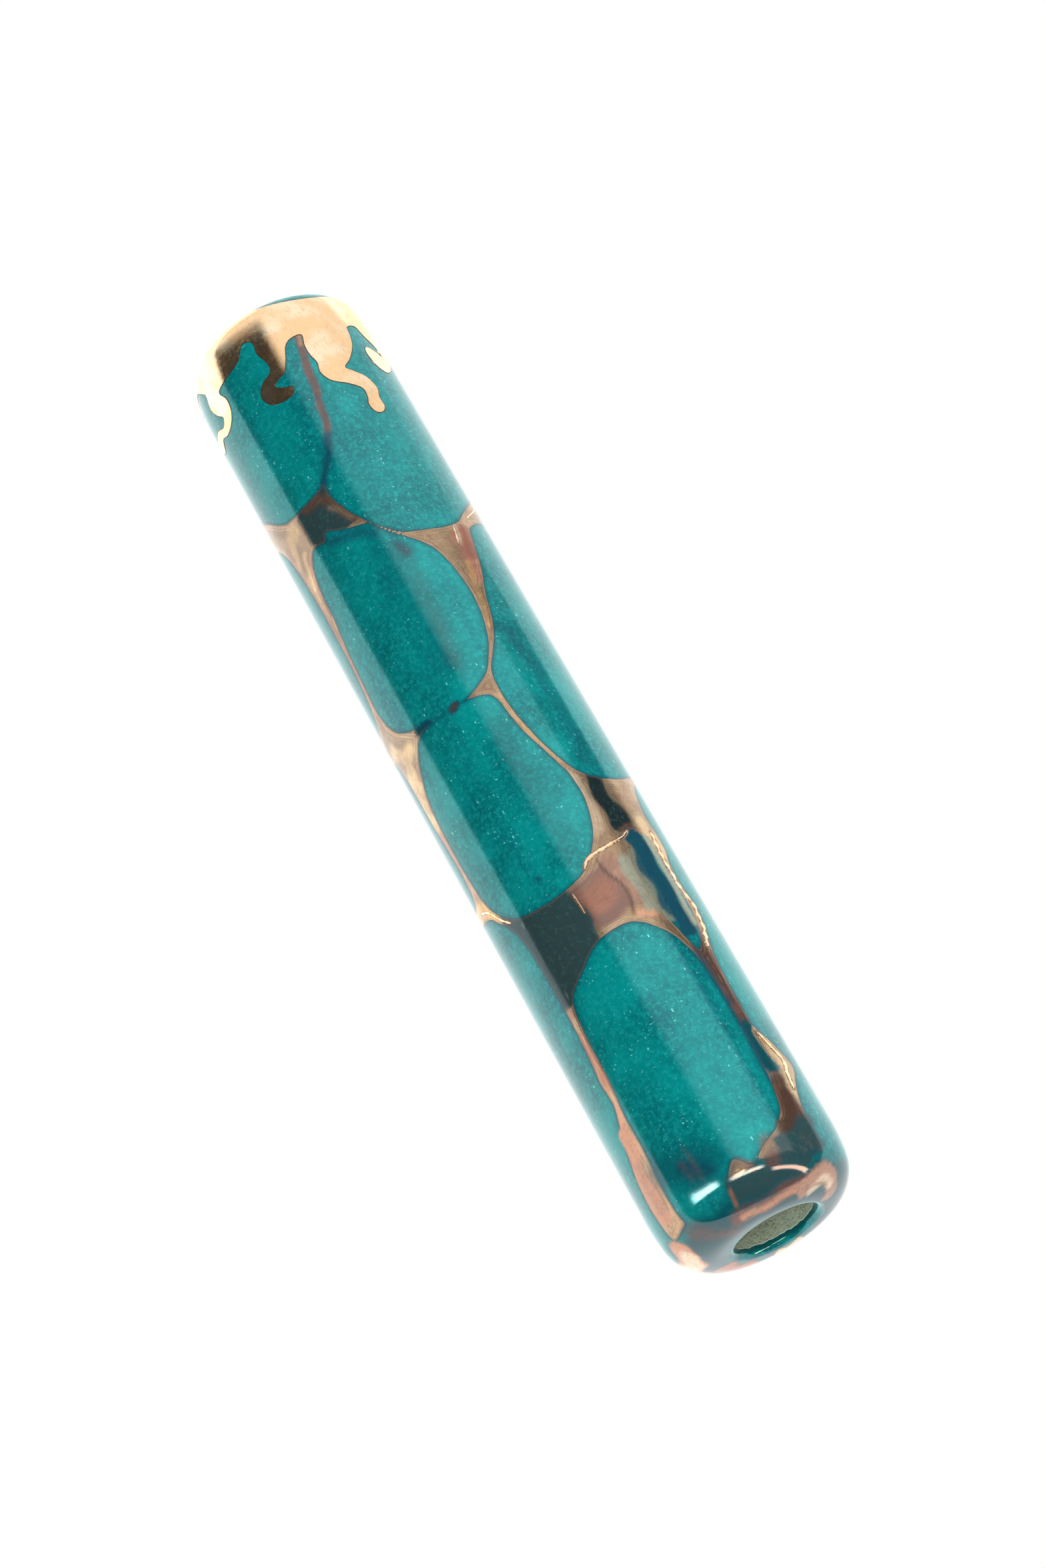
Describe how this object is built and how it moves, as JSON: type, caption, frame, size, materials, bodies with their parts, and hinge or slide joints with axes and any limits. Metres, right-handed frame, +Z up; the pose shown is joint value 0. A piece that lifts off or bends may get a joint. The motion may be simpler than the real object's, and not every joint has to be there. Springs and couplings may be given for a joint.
{
  "type": "mezuzah case",
  "caption": "Round glazed stoneware case with a gold cap, open at its lower end for a rolled scroll, with a foam strip for a doorpost.",
  "frame": {"origin": "centre of the mounting strip's flat back face, on the doorpost", "axes": "+Z up along the case towards the gold cap, +Y into the doorpost, front of the case towards -Y"},
  "size_m": [0.022, 0.0228, 0.1233],
  "materials": {
    "fired_clay": "bare fired stoneware, gritty",
    "teal_glaze": "glossy, copper veins under the surface",
    "gold_lustre": "fired gold lustre, mirror bright",
    "parchment": "smooth, dry",
    "clear_film": "clear polyester film",
    "cork": "natural cork",
    "foam_tape": "matt closed-cell foam"
  },
  "bodies": {
    "case": {"ceramic_tube": "fired_clay", "end_disc": "fired_clay", "glaze_coat": "teal_glaze", "gold_cap": "gold_lustre", "mounting_strip": "foam_tape"},
    "scroll": {"parchment_scroll": "parchment", "scroll_sleeve": "clear_film"},
    "stopper": {"stopper": "cork"}
  },
  "joints": [
    {"name": "scroll_slide", "type": "slide", "parent": "case", "child": "scroll", "axis": [0, 0, -1], "range_m": [0, 0.118]},
    {"name": "stopper_slide", "type": "slide", "parent": "scroll", "child": "stopper", "axis": [0, 0, -1], "range_m": [0, 0.02]}
  ]
}
